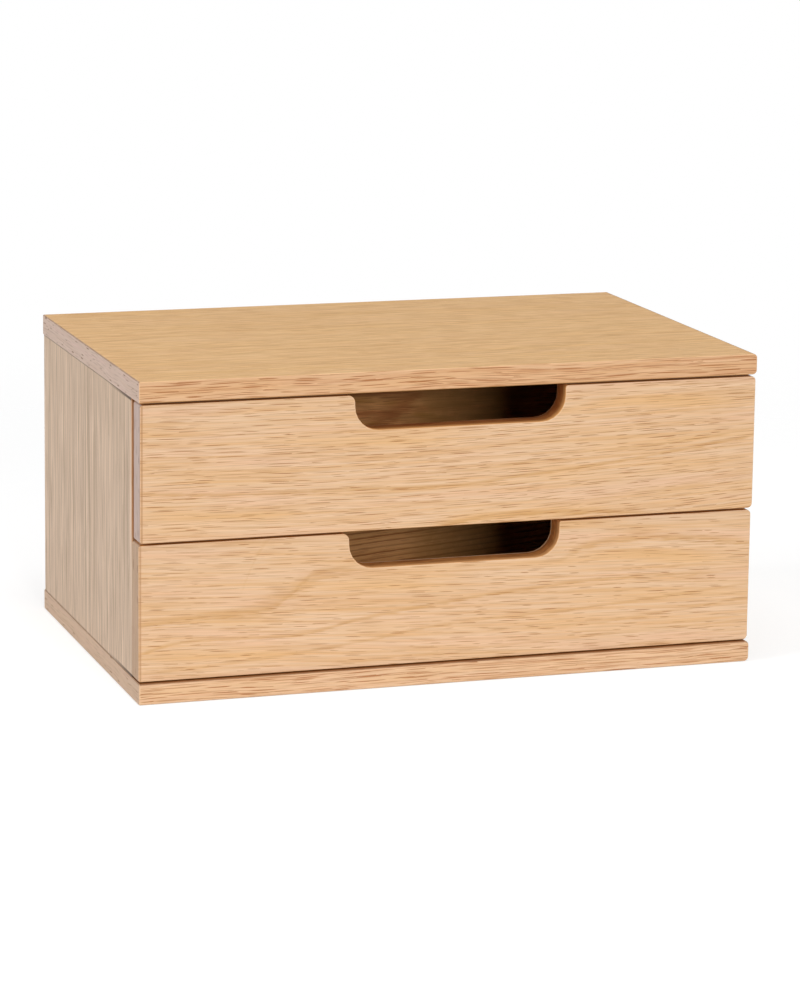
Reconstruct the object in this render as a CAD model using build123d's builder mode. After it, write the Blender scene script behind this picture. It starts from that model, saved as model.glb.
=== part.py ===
from build123d import *
import os

os.makedirs("parts", exist_ok=True)

# A desktop cabinet with two drawers, in millimetres. The drawer fronts face -Y, Z is up,
# and the origin is the middle of the footprint on the table.

# Case boards
case_width = 350.0
case_depth = 224.0
board_thickness = 11.5  # top and base boards
opening_height = 151.0  # clear height between the base and the top board
side_thickness = 12.0
side_setback = 0.3  # the sides stand in from the ends of top and base
side_rear_setback = 1.5  # and from their rear edges
board_arris = 0.8  # sanded edges round the front and rear of the top and base boards
left_end_arris = 1.0  # their edges across the ends, which the sander rounded more on the right
right_end_arris = 2.4
side_arris = 0.5  # sanded upright edges of the sides

# Back panel and divider, loose in their grooves
back_thickness = 5.0
back_inset = 5.0  # from the rear edge of the boards to the panel's rear face
back_groove_depth = 5.0
divider_thickness = 6.0
divider_housing_depth = 4.0
face_play = 0.2  # a groove is this much wider than its panel is thick
edge_play = 0.5  # a panel's edge stops this far from the bottom of its groove
panel_arris = 0.4

# Drawer fronts
front_thickness = 13.5
front_end_gap = 0.3  # a front stops this far from each end of the boards
front_setback = 2.5  # a closed front stands back from the front edges of the boards
closing_gap = 0.3  # from a closed front to the front edges of the sides
lower_seam = 0.45  # below the lower front
middle_seam = 1.4
upper_seam = 1.15
upper_stand_out = 1.6  # the lower drawer is pushed right in, the upper one is not
left_corner = 1.4  # outline corners, sanded like the boards
right_corner = 2.6
front_arris = 1.0
front_rear_arris = 0.8

# Finger slot in the upper edge of each front
slot_width = 119.4
slot_depth = 19.6
slot_corner = 13.5  # inner corners, left by the cutter
slot_left_lip = 4.0  # outer corners
slot_right_lip = 1.4
lower_slot_shift = 1.6  # from the middle of the front to the right, as the slots were set by hand
upper_slot_shift = 3.4

# Drawer boxes
box_side_thickness = 10.0
box_back_thickness = 10.0
box_bottom_thickness = 4.0
bottom_lift = 4.0  # the bottom's groove lies this far above the box's lower edge
bottom_groove_depth = 5.0
box_headroom = 11.7  # from the box's upper edge to the board above
box_side_gap = 0.8  # running gap on each side
box_run_gap = 0.3  # running gap under the box
box_rear_gap = 0.3  # a closed drawer stops this far from the back panel
box_arris = 1.5

# Dowels and their holes
dowel_fit = 0.05  # radial room of a dowel in its hole
dowel_end_room = 0.5  # glue room at each end of a dowel
dowel_flutes = 12  # glue flutes, each drawn as a flat
case_dowel_diameter = 8.0
case_dowel_length = 30.0
case_dowel_skin = 4.0  # wood left over the holes in the top and base boards
case_dowel_edge = 32.0  # first and last dowel, from the edges of the joint
case_dowel_count = 2
box_dowel_diameter = 6.0
box_dowel_length = 26.0
front_dowel_skin = 6.0  # wood left over the holes in a front
box_dowel_skin = 3.0  # wood left over the holes in a box side
box_dowel_edge = 12.0  # from the bottom's groove and from the box's upper edge

# Case layout
front_y = -case_depth / 2
rear_y = case_depth / 2
opening_floor = board_thickness
opening_top = opening_floor + opening_height
side_outer_x = case_width / 2 - side_setback
side_inner_x = side_outer_x - side_thickness
side_middle_x = side_inner_x + side_thickness / 2
front_rear_y = front_y + front_setback + front_thickness
side_front_y = front_rear_y + closing_gap
side_rear_y = rear_y - side_rear_setback
back_rear_y = rear_y - back_inset
back_front_y = back_rear_y - back_thickness
back_groove_width = back_thickness + face_play
back_groove_y = back_front_y + back_groove_width / 2
back_groove_length = 2 * (side_inner_x + back_groove_depth)
divider_floor = opening_floor + (opening_height - divider_thickness) / 2
divider_depth = back_front_y - side_front_y
divider_middle_y = side_front_y + divider_depth / 2

# Fronts and bays
front_width = case_width - 2 * front_end_gap
front_height = (opening_height - lower_seam - middle_seam - upper_seam) / 2
lower_front_floor = opening_floor + lower_seam
upper_front_floor = lower_front_floor + front_height + middle_seam
bay_height = (opening_height - divider_thickness) / 2
slot_corner_fitted = min(slot_corner, 0.95 * (slot_depth - slot_left_lip), 0.45 * slot_width)

# Boxes
box_outer_x = side_inner_x - box_side_gap
box_inner_x = box_outer_x - box_side_thickness
box_side_middle_x = box_inner_x + box_side_thickness / 2
box_depth = back_front_y - box_rear_gap - front_rear_y
box_height = bay_height - box_run_gap - box_headroom
bottom_groove_height = box_bottom_thickness + face_play
bottom_groove_width = 2 * (box_inner_x + bottom_groove_depth)
bottom_width = bottom_groove_width - 2 * edge_play
bottom_groove_length = box_depth - box_back_thickness + 2 * bottom_groove_depth
bottom_length = bottom_groove_length - 2 * edge_play

# Dowel places
case_hole_radius = case_dowel_diameter / 2 + dowel_fit
case_hole_in_board = board_thickness - case_dowel_skin
case_hole_in_side = case_dowel_length + 2 * dowel_end_room - case_hole_in_board
first_case_dowel_y = side_front_y + case_dowel_edge
last_case_dowel_y = back_front_y - case_dowel_edge
case_dowel_step = (last_case_dowel_y - first_case_dowel_y) / (case_dowel_count - 1)
case_dowel_rows = [first_case_dowel_y + step * case_dowel_step for step in range(case_dowel_count)]
case_dowel_points = [(x, y) for x in (-side_middle_x, side_middle_x) for y in case_dowel_rows]
box_hole_radius = box_dowel_diameter / 2 + dowel_fit
box_hole_in_front = front_thickness - front_dowel_skin
box_hole_in_box_end = box_dowel_length + 2 * dowel_end_room - box_hole_in_front
box_hole_in_side = box_side_thickness - box_dowel_skin
box_hole_in_back = box_dowel_length + 2 * dowel_end_room - box_hole_in_side


# A top or base board. The groove for the back panel and the dowel holes are cut into the
# face that looks into the case, up into the top board and down into the base board.
def make_board(label, board_floor, inner_face, direction):
    with BuildPart() as board:
        with BuildSketch(Plane.XY.offset(board_floor)):
            Rectangle(case_width, case_depth)
        extrude(amount=board_thickness)
        fillet(board.edges().filter_by(Axis.Y).group_by(Axis.X)[0], left_end_arris)
        fillet(board.edges().filter_by(Axis.Y).group_by(Axis.X)[-1], right_end_arris)
        chamfer(board.faces().filter_by(Axis.Y).edges(), board_arris)
        with BuildSketch(Plane.XY.offset(inner_face)):
            with Locations((0, back_groove_y)):
                Rectangle(back_groove_length, back_groove_width)
        extrude(amount=direction * back_groove_depth, mode=Mode.SUBTRACT)
        with BuildSketch(Plane.XY.offset(inner_face)):
            with Locations(*case_dowel_points):
                Circle(case_hole_radius)
        extrude(amount=direction * case_hole_in_board, mode=Mode.SUBTRACT)
    board.part.label = label
    export_step(board.part, f"parts/{label}.step")


make_board("base_panel", 0, opening_floor, -1)
make_board("top_panel", opening_top, opening_top, 1)


# One side of the case. Hand is -1 for the left side and 1 for the right one.
def make_case_side(label, hand):
    side_depth = side_rear_y - side_front_y
    with BuildPart() as side:
        with BuildSketch(Plane.XY.offset(opening_floor)):
            with Locations((hand * side_middle_x, side_front_y + side_depth / 2)):
                Rectangle(side_thickness, side_depth)
        extrude(amount=opening_height)
        fillet(side.edges().filter_by(Axis.Z), side_arris)
        with BuildSketch(Plane.XY.offset(opening_floor)):
            with Locations((hand * (side_inner_x + back_groove_depth / 2), back_groove_y)):
                Rectangle(back_groove_depth, back_groove_width)
        extrude(amount=opening_height, mode=Mode.SUBTRACT)
        with BuildSketch(Plane.XY.offset(divider_floor)):
            with Locations((hand * (side_inner_x + divider_housing_depth / 2), divider_middle_y)):
                Rectangle(divider_housing_depth, divider_depth)
        extrude(amount=divider_thickness + face_play, mode=Mode.SUBTRACT)
        for end_face, direction in ((opening_floor, 1), (opening_top, -1)):
            with BuildSketch(Plane.XY.offset(end_face)):
                with Locations(*[(hand * side_middle_x, y) for y in case_dowel_rows]):
                    Circle(case_hole_radius)
            extrude(amount=direction * case_hole_in_side, mode=Mode.SUBTRACT)
    side.part.label = label
    export_step(side.part, f"parts/{label}.step")


make_case_side("left_side_panel", -1)
make_case_side("right_side_panel", 1)

# The back panel stands on the bottom of the base's groove and leaves room above.
back_panel_floor = opening_floor - back_groove_depth
back_panel_height = opening_height + 2 * back_groove_depth - edge_play
with BuildPart() as back_panel:
    with BuildSketch(Plane.XZ.offset(-back_rear_y)):
        with Locations((0, back_panel_floor + back_panel_height / 2)):
            Rectangle(back_groove_length - 2 * edge_play, back_panel_height)
    extrude(amount=back_thickness)
    chamfer(back_panel.edges(), panel_arris)
back_panel.part.label = "back_panel"
export_step(back_panel.part, "parts/back_panel.step")

# The divider is the floor of the upper bay and lies in a housing in each side.
with BuildPart() as divider_shelf:
    with BuildSketch(Plane.XY.offset(divider_floor)):
        with Locations((0, divider_middle_y)):
            Rectangle(2 * (side_inner_x + divider_housing_depth - edge_play), divider_depth)
    extrude(amount=divider_thickness)
    fillet(divider_shelf.edges().filter_by(Axis.X), panel_arris)
divider_shelf.part.label = "divider_shelf"
export_step(divider_shelf.part, "parts/divider_shelf.step")


# Upright dowels between a board and both sides, lying end_floor above the table.
def make_case_dowels(label, end_floor):
    with BuildPart() as dowels:
        with BuildSketch(Plane.XY.offset(end_floor)):
            with Locations(*case_dowel_points):
                RegularPolygon(case_dowel_diameter / 2, dowel_flutes)
        extrude(amount=case_dowel_length)
    dowels.part.label = label
    export_step(dowels.part, f"parts/{label}.step")


base_dowel_floor = opening_floor - case_hole_in_board + dowel_end_room
top_dowel_floor = opening_top + case_hole_in_board - dowel_end_room - case_dowel_length
make_case_dowels("base_dowels", base_dowel_floor)
make_case_dowels("top_dowels", top_dowel_floor)


# A drawer stands on its bay's floor, and its front overlays the front edges of the sides. It
# stands out this far from its closed place.
def make_drawer(drawer, bay_floor, front_floor, slot_shift, stand_out):
    front_back = front_rear_y - stand_out
    box_rear = front_back + box_depth
    box_middle = front_back + box_depth / 2
    box_back_face = box_rear - box_back_thickness
    box_back_middle = box_rear - box_back_thickness / 2
    box_floor = bay_floor + box_run_gap
    box_top = box_floor + box_height
    groove_floor = box_floor + bottom_lift
    front_top = front_floor + front_height
    dowel_heights = (groove_floor + bottom_groove_height + box_dowel_edge, box_top - box_dowel_edge)
    front_dowel_points = [(x, z) for x in (-box_side_middle_x, box_side_middle_x) for z in dowel_heights]
    back_dowel_point = (box_back_middle, sum(dowel_heights) / len(dowel_heights))

    # The front's outline holds the finger slot, open at the top.
    with BuildPart() as front:
        with BuildSketch(Plane.XZ.offset(-front_back)) as outline:
            with Locations((0, front_floor + front_height / 2)):
                Rectangle(front_width, front_height)
            fillet(outline.vertices().group_by(Axis.X)[0], left_corner)
            fillet(outline.vertices().group_by(Axis.X)[-1], right_corner)
            with Locations((slot_shift, front_top)):
                Rectangle(slot_width, 2 * slot_depth, mode=Mode.SUBTRACT)
            slot_floor = front_top - slot_depth
            slot_floor_points = outline.vertices().filter_by_position(Axis.Y, slot_floor, slot_floor)
            fillet(slot_floor_points, slot_corner_fitted)
            fillet(outline.vertices().group_by(Axis.Y)[-1].sort_by(Axis.X)[1], slot_left_lip)
            fillet(outline.vertices().group_by(Axis.Y)[-1].sort_by(Axis.X)[-2], slot_right_lip)
        extrude(amount=front_thickness)
        fillet(front.faces().sort_by(Axis.Y)[0].edges(), front_arris)
        chamfer(front.faces().sort_by(Axis.Y)[-1].edges(), front_rear_arris)
        with BuildSketch(Plane.XY.offset(groove_floor)):
            with Locations((0, front_back - bottom_groove_depth / 2)):
                Rectangle(bottom_groove_width, bottom_groove_depth)
        extrude(amount=bottom_groove_height, mode=Mode.SUBTRACT)
        with BuildSketch(Plane.XZ.offset(-front_back)):
            with Locations(*front_dowel_points):
                Circle(box_hole_radius)
        extrude(amount=box_hole_in_front, mode=Mode.SUBTRACT)
    front.part.label = f"{drawer}_drawer_front"
    export_step(front.part, f"parts/{drawer}_drawer_front.step")

    # Each side has the bottom's groove, and holes in its front end and near its rear end.
    for place, hand in (("left", -1), ("right", 1)):
        with BuildPart() as box_side:
            with BuildSketch(Plane.XY.offset(box_floor)):
                with Locations((hand * box_side_middle_x, box_middle)):
                    Rectangle(box_side_thickness, box_depth)
            extrude(amount=box_height)
            fillet(box_side.edges().filter_by(Axis.Y).group_by(Axis.Z)[-1], box_arris)
            with BuildSketch(Plane.XY.offset(groove_floor)):
                with Locations((hand * (box_inner_x + bottom_groove_depth / 2), box_middle)):
                    Rectangle(bottom_groove_depth, box_depth)
            extrude(amount=bottom_groove_height, mode=Mode.SUBTRACT)
            with BuildSketch(Plane.XZ.offset(-front_back)):
                with Locations(*[(hand * box_side_middle_x, z) for z in dowel_heights]):
                    Circle(box_hole_radius)
            extrude(amount=-box_hole_in_box_end, mode=Mode.SUBTRACT)
            with BuildSketch(Plane.YZ.offset(hand * box_inner_x)):
                with Locations(back_dowel_point):
                    Circle(box_hole_radius)
            extrude(amount=hand * box_hole_in_side, mode=Mode.SUBTRACT)
        box_side.part.label = f"{drawer}_drawer_{place}_side"
        export_step(box_side.part, f"parts/{drawer}_drawer_{place}_side.step")

    # The back stands between the sides.
    with BuildPart() as box_back:
        with BuildSketch(Plane.XY.offset(box_floor)):
            with Locations((0, box_back_middle)):
                Rectangle(2 * box_inner_x, box_back_thickness)
        extrude(amount=box_height)
        fillet(box_back.edges().filter_by(Axis.X).group_by(Axis.Z)[-1], box_arris)
        with BuildSketch(Plane.XY.offset(groove_floor)):
            with Locations((0, box_back_face + bottom_groove_depth / 2)):
                Rectangle(2 * box_inner_x, bottom_groove_depth)
        extrude(amount=bottom_groove_height, mode=Mode.SUBTRACT)
        for hand in (-1, 1):
            with BuildSketch(Plane.YZ.offset(hand * box_inner_x)):
                with Locations(back_dowel_point):
                    Circle(box_hole_radius)
            extrude(amount=-hand * box_hole_in_back, mode=Mode.SUBTRACT)
    box_back.part.label = f"{drawer}_drawer_back"
    export_step(box_back.part, f"parts/{drawer}_drawer_back.step")

    # The bottom lies on the lower faces of the grooves.
    bottom_middle = front_back - bottom_groove_depth + bottom_groove_length / 2
    with BuildPart() as box_bottom:
        with BuildSketch(Plane.XY.offset(groove_floor)):
            with Locations((0, bottom_middle)):
                Rectangle(bottom_width, bottom_length)
        extrude(amount=box_bottom_thickness)
        chamfer(box_bottom.edges(), panel_arris)
    box_bottom.part.label = f"{drawer}_drawer_bottom"
    export_step(box_bottom.part, f"parts/{drawer}_drawer_bottom.step")

    # Two dowels join the front to each side, and one joins each side to the back, which the
    # bottom's groove keeps square.
    front_dowel_y = front_back - box_hole_in_front + dowel_end_room
    with BuildPart() as front_dowels:
        with BuildSketch(Plane.XZ.offset(-front_dowel_y)):
            with Locations(*front_dowel_points):
                RegularPolygon(box_dowel_diameter / 2, dowel_flutes)
        extrude(amount=-box_dowel_length)
    front_dowels.part.label = f"{drawer}_front_dowels"
    export_step(front_dowels.part, f"parts/{drawer}_front_dowels.step")

    back_dowel_x = box_inner_x + box_hole_in_side - dowel_end_room
    with BuildPart() as back_dowels:
        for hand in (-1, 1):
            with BuildSketch(Plane.YZ.offset(hand * back_dowel_x)):
                with Locations(back_dowel_point):
                    RegularPolygon(box_dowel_diameter / 2, dowel_flutes)
            extrude(amount=-hand * box_dowel_length)
    back_dowels.part.label = f"{drawer}_back_dowels"
    export_step(back_dowels.part, f"parts/{drawer}_back_dowels.step")


upper_bay_floor = divider_floor + divider_thickness
make_drawer("lower", opening_floor, lower_front_floor, lower_slot_shift, 0)
make_drawer("upper", upper_bay_floor, upper_front_floor, upper_slot_shift, upper_stand_out)
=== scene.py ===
import math
import bmesh
import bpy
from mathutils import Matrix, Vector


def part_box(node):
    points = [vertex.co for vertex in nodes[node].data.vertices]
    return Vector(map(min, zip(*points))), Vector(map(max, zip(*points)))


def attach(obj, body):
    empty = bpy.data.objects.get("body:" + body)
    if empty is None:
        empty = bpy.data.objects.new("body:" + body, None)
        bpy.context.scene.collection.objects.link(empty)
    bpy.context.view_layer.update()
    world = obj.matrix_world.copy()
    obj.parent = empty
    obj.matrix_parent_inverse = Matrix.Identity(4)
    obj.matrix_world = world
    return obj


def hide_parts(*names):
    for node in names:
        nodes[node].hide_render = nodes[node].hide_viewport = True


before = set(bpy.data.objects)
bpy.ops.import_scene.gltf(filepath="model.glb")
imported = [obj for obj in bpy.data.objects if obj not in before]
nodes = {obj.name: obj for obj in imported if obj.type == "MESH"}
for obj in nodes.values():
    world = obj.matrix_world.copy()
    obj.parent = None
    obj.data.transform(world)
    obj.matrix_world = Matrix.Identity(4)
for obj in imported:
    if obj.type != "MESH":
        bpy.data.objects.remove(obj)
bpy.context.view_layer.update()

perMetre = 1000.0  # the frame is in metres, and the settings here are in millimetres
print("cabinet loaded,", len(nodes), "parts")


def addNode(tree, kind, inputs=None, **settings):
    node = tree.nodes.new("ShaderNode" + kind)
    for key, value in settings.items():
        setattr(node, key, value)
    for key, value in (inputs or {}).items():
        if isinstance(value, bpy.types.NodeSocket):
            tree.links.new(value, node.inputs[key])
        else:
            node.inputs[key].default_value = value
    return node


def calc(tree, operation, a, b=0.0, c=0.0, clamp=False):
    return addNode(tree, "Math", {0: a, 1: b, 2: c}, operation=operation, use_clamp=clamp).outputs[0]


def vectorCalc(tree, operation, a, b=(0.0, 0.0, 0.0)):
    node = addNode(tree, "VectorMath", {0: a, 1: b}, operation=operation)
    return node.outputs["Value" if operation in ("DOT_PRODUCT", "LENGTH") else "Vector"]


def scaled(tree, vector, size):
    return addNode(tree, "VectorMath", {0: vector, "Scale": size}, operation="SCALE").outputs["Vector"]


def inMillimetres(tree, vector):
    return scaled(tree, vector, perMetre)


def joined(tree, x, y, z):
    return addNode(tree, "CombineXYZ", {0: x, 1: y, 2: z}).outputs[0]


def parted(tree, vector):
    return addNode(tree, "SeparateXYZ", {0: vector}).outputs


def fade(tree, value, start, end, low=0.0, high=1.0, smooth=True):
    limits = {"Value": value, "From Min": start, "From Max": end, "To Min": low, "To Max": high}
    kind = "SMOOTHSTEP" if smooth else "LINEAR"
    return addNode(tree, "MapRange", limits, interpolation_type=kind).outputs["Result"]


def tint(tree, factor, under, over, how="MIX"):
    colours = [colour + (1,) if isinstance(colour, tuple) else colour for colour in (under, over)]
    return addNode(tree, "Mix", {0: factor, 6: colours[0], 7: colours[1]}, data_type="RGBA",
                   blend_type=how).outputs[2]


def noise(tree, vector, detail=2.0, roughness=0.5, out="Fac"):
    return addNode(tree, "TexNoise", {"Vector": vector, "Scale": 1.0, "Detail": detail,
                                      "Roughness": roughness}).outputs[out]


def uneven(tree, vector, detail=2.0):
    # rough values round zero
    return calc(tree, "SUBTRACT", noise(tree, vector, detail, 0.6), 0.5)


def startGroup(name, inputs, outputs):
    tree = bpy.data.node_groups.new(name, "ShaderNodeTree")
    for label, value in inputs.items():
        kind = "NodeSocketVector" if isinstance(value, tuple) else "NodeSocketFloat"
        tree.interface.new_socket(label, in_out="INPUT", socket_type=kind).default_value = value
    for label in outputs:
        kind = "NodeSocketVector" if label in ("Vector", "Facing") else "NodeSocketFloat"
        tree.interface.new_socket(label, in_out="OUTPUT", socket_type=kind)
    return tree, tree.nodes.new("NodeGroupInput").outputs, tree.nodes.new("NodeGroupOutput").inputs


def useGroup(tree, group, **values):
    node = tree.nodes.new("ShaderNodeGroup")
    node.node_tree = group
    for key, value in values.items():
        label = next(s.name for s in node.inputs if s.name.replace(" ", "").lower() == key.lower())
        if isinstance(value, bpy.types.NodeSocket):
            tree.links.new(value, node.inputs[label])
        else:
            node.inputs[label].default_value = value
    return node.outputs


def boardSpaceGroup():
    # millimetres along, across and through the board, and which way the surface faces in them
    tree, inp, out = startGroup("board space", {"Grain": (1.0, 0.0, 0.0), "Across": (0.0, 0.0, 1.0),
                                                "Through": (0.0, 1.0, 0.0), "Start": (0.0, 0.0, 0.0)},
                                ["Vector", "Facing"])
    coords = addNode(tree, "TexCoord").outputs
    place = inMillimetres(tree, vectorCalc(tree, "SUBTRACT", coords["Object"], inp["Start"]))
    for vector, label in ((place, "Vector"), (coords["Normal"], "Facing")):
        parts = [vectorCalc(tree, "DOT_PRODUCT", vector, inp[way]) for way in ("Grain", "Across", "Through")]
        tree.links.new(joined(tree, *parts), out[label])
    return tree


def grainWanderGroup():
    # bends the straight grain a little, slowly along its length
    tree, inp, out = startGroup("grain wander", {"Vector": (0.0, 0.0, 0.0), "Amount": 4.0, "Reach": 160.0,
                                                 "Spread": 30.0, "Seed": 0.0}, ["Vector"])
    detail, roughness = 1.5, 0.4
    along, across, through = parted(tree, inp["Vector"])
    slow = joined(tree, calc(tree, "ADD", calc(tree, "DIVIDE", along, inp["Reach"]), inp["Seed"]),
                  calc(tree, "DIVIDE", across, inp["Spread"]), calc(tree, "DIVIDE", through, inp["Spread"]))
    shift = vectorCalc(tree, "SUBTRACT", noise(tree, slow, detail, roughness, "Color"), (0.5, 0.5, 0.5))
    shift = vectorCalc(tree, "MULTIPLY", shift, (0.0, 1.0, 1.0))  # only sideways
    tree.links.new(vectorCalc(tree, "ADD", inp["Vector"], scaled(tree, shift, inp["Amount"])), out["Vector"])
    return tree


def heartRingsGroup():
    # counts the growth rings out from the heart of the tree
    tree, inp, out = startGroup("heart rings", {"Vector": (0.0, 0.0, 0.0), "Heart Across": 0.0,
                                                "Heart Through": -60.0, "Ring Width": 4.0}, ["Ring"])
    _, across, through = parted(tree, inp["Vector"])
    a = calc(tree, "SUBTRACT", across, inp["Heart Across"])
    b = calc(tree, "SUBTRACT", through, inp["Heart Through"])
    far = calc(tree, "SQRT", calc(tree, "ADD", calc(tree, "MULTIPLY", a, a), calc(tree, "MULTIPLY", b, b)))
    tree.links.new(calc(tree, "DIVIDE", far, inp["Ring Width"]), out["Ring"])
    return tree


def ringLinesGroup():
    # the porous start of each ring: sharp on one side, fading on the other
    tree, inp, out = startGroup("ring lines", {"Ring": 0.0, "Vector": (0.0, 0.0, 0.0), "Width": 0.3,
                                               "Ragged": 0.15}, ["Line"])
    raggedSize, sharp, full, faintest = (9.0, 1.1, 1.1), 0.25, 0.3, 0.3
    ragged = uneven(tree, vectorCalc(tree, "DIVIDE", inp["Vector"], raggedSize))
    ragged = calc(tree, "MULTIPLY", ragged, inp["Ragged"])
    number = calc(tree, "ADD", inp["Ring"], ragged)
    part = calc(tree, "FRACT", number)
    rise = fade(tree, part, 0.0, calc(tree, "MULTIPLY", inp["Width"], sharp))
    fall = fade(tree, part, calc(tree, "MULTIPLY", inp["Width"], full), inp["Width"], 1.0, 0.0)
    chance = addNode(tree, "TexWhiteNoise", {"W": calc(tree, "FLOOR", number)}, noise_dimensions="1D")
    strength = calc(tree, "MULTIPLY_ADD", chance.outputs["Value"], 1.0 - faintest, faintest)
    tree.links.new(calc(tree, "MULTIPLY", calc(tree, "MULTIPLY", rise, fall), strength), out["Line"])
    return tree


def poreDashesGroup():
    # open vessels: thin dashes along the grain, laid flat in whichever face cuts them
    tree, inp, out = startGroup("pore dashes", {"Vector": (0.0, 0.0, 0.0), "Facing": (0.0, 0.0, 1.0),
                                                "Cell Length": 18.0, "Cell Width": 2.2, "Length": 6.0,
                                                "Thickness": 0.3, "Amount": 0.8, "Seed": 0.0},
                                ["Pore", "Shade"])
    shortest, longer, thinnest, thicker, core = 0.45, 1.1, 0.65, 0.7, 0.55
    size = joined(tree, inp["Cell Length"], inp["Cell Width"], inp["Cell Width"])
    seed = joined(tree, inp["Seed"], inp["Seed"], inp["Seed"])
    cells = vectorCalc(tree, "ADD", vectorCalc(tree, "DIVIDE", inp["Vector"], size), seed)
    voronoi = addNode(tree, "TexVoronoi", {"Vector": cells, "Scale": 1.0, "Randomness": 1.0},
                      voronoi_dimensions="3D").outputs
    chance = addNode(tree, "SeparateColor", {0: voronoi["Color"]}).outputs
    away = vectorCalc(tree, "MULTIPLY", vectorCalc(tree, "SUBTRACT", cells, voronoi["Position"]), size)
    deep = scaled(tree, inp["Facing"], vectorCalc(tree, "DOT_PRODUCT", away, inp["Facing"]))
    flat = vectorCalc(tree, "SUBTRACT", away, deep)
    half = calc(tree, "MULTIPLY", inp["Length"], calc(tree, "MULTIPLY_ADD", chance[0], longer, shortest))
    thin = calc(tree, "MULTIPLY", inp["Thickness"], calc(tree, "MULTIPLY_ADD", chance[1], thicker, thinnest))
    far = vectorCalc(tree, "LENGTH", vectorCalc(tree, "DIVIDE", flat, joined(tree, half, thin, thin)))
    here = calc(tree, "LESS_THAN", chance[2], inp["Amount"])
    tree.links.new(calc(tree, "MULTIPLY", fade(tree, far, core, 1.0, 1.0, 0.0), here), out["Pore"])
    tree.links.new(chance[1], out["Shade"])
    return tree


def streaksGroup():
    # soft fibres or bands, mostly between -1 and 1
    tree, inp, out = startGroup("wood streaks", {"Vector": (0.0, 0.0, 0.0), "Length": 60.0, "Width": 0.8,
                                                 "Seed": 0.0, "Detail": 2.0}, ["Streak"])
    contrast, roughness = 3.2, 0.55
    size = joined(tree, inp["Length"], inp["Width"], inp["Width"])
    seed = joined(tree, inp["Seed"], inp["Seed"], inp["Seed"])
    cells = vectorCalc(tree, "ADD", vectorCalc(tree, "DIVIDE", inp["Vector"], size), seed)
    grey = noise(tree, cells, inp["Detail"], roughness)
    tree.links.new(calc(tree, "MULTIPLY", calc(tree, "SUBTRACT", grey, 0.5), contrast), out["Streak"])
    return tree


def edgeWearGroup():
    # 1 along the edges of the piece's own box, in a band that breaks up a little: wear, and on the fronts and
    # boards a painted highlight of the arrises
    tree, inp, out = startGroup("edge wear", {"Low": (0.0, 0.0, 0.0), "High": (1.0, 1.0, 1.0), "Reach": 1.4,
                                              "Breakup": 0.8}, ["Wear"])
    bare, fine = 0.2, 110.0  # fully worn this far in, and how finely it breaks up
    place = addNode(tree, "TexCoord").outputs["Object"]
    near = vectorCalc(tree, "MINIMUM", vectorCalc(tree, "SUBTRACT", place, inp["Low"]),
                      vectorCalc(tree, "SUBTRACT", inp["High"], place))
    x, y, z = parted(tree, inMillimetres(tree, near))
    small = calc(tree, "MINIMUM", x, y)
    large = calc(tree, "MAXIMUM", x, y)
    middle = calc(tree, "MAXIMUM", small, calc(tree, "MINIMUM", large, z))
    rough = uneven(tree, scaled(tree, place, fine), 3.0)
    edge = calc(tree, "MULTIPLY_ADD", rough, inp["Breakup"], middle)
    tree.links.new(fade(tree, edge, bare, inp["Reach"], 1.0, 0.0), out["Wear"])
    return tree


def slotRimGroup():
    # a lighter band round the finger slot's outline: wear and a painted highlight of its arris
    tree, inp, out = startGroup("slot rim", {"Centre": 0.0, "Floor": 0.0, "Half Width": 60.0,
                                             "Corner": 13.5, "Reach": 1.2}, ["Rim"])
    bare = 0.2
    x, _, z = parted(tree, inMillimetres(tree, addNode(tree, "TexCoord").outputs["Object"]))
    side = calc(tree, "SUBTRACT", calc(tree, "ABSOLUTE", calc(tree, "SUBTRACT", x, inp["Centre"])),
                calc(tree, "SUBTRACT", inp["Half Width"], inp["Corner"]))
    down = calc(tree, "SUBTRACT", calc(tree, "ADD", inp["Floor"], inp["Corner"]), z)
    a = calc(tree, "MAXIMUM", side, 0.0)
    b = calc(tree, "MAXIMUM", down, 0.0)
    around = calc(tree, "SQRT", calc(tree, "ADD", calc(tree, "MULTIPLY", a, a), calc(tree, "MULTIPLY", b, b)))
    inside = calc(tree, "MINIMUM", calc(tree, "MAXIMUM", side, down), 0.0)
    far = calc(tree, "SUBTRACT", calc(tree, "ADD", around, inside), inp["Corner"])
    tree.links.new(fade(tree, far, bare, inp["Reach"], 1.0, 0.0), out["Rim"])
    return tree


def figureLineGroup():
    # one soft brown line of the figure, drawn at a height that changes along the board
    tree, inp, out = startGroup("figure line", {"Vector": (0.0, 0.0, 0.0), "Height": 0.0, "From": 0.0,
                                                "To": 350.0, "Thickness": 1.5, "Strength": 1.0}, ["Line"])
    raggedSize, raggedAmount, under, fadeIn, fadeOut = (14.0, 0.9, 0.9), 1.6, -0.55, 18.0, 22.0
    breaks, level = 1.1, 0.9
    along, across, _ = parted(tree, inp["Vector"])
    ragged = uneven(tree, vectorCalc(tree, "DIVIDE", inp["Vector"], raggedSize))
    off = calc(tree, "SUBTRACT", across, inp["Height"])
    off = calc(tree, "MULTIPLY_ADD", ragged, calc(tree, "MULTIPLY", inp["Thickness"], raggedAmount), off)
    above = fade(tree, off, 0.0, inp["Thickness"], 1.0, 0.0)
    below = fade(tree, off, calc(tree, "MULTIPLY", inp["Thickness"], under), 0.0)
    start = fade(tree, along, inp["From"], calc(tree, "ADD", inp["From"], fadeIn))
    stop = fade(tree, along, calc(tree, "SUBTRACT", inp["To"], fadeOut), inp["To"], 1.0, 0.0)
    band = calc(tree, "MULTIPLY", calc(tree, "MULTIPLY", above, below), calc(tree, "MULTIPLY", start, stop))
    broken = calc(tree, "MULTIPLY_ADD", ragged, breaks, level)
    tree.links.new(calc(tree, "MULTIPLY", calc(tree, "MULTIPLY", band, broken), inp["Strength"]), out["Line"])
    return tree


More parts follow.
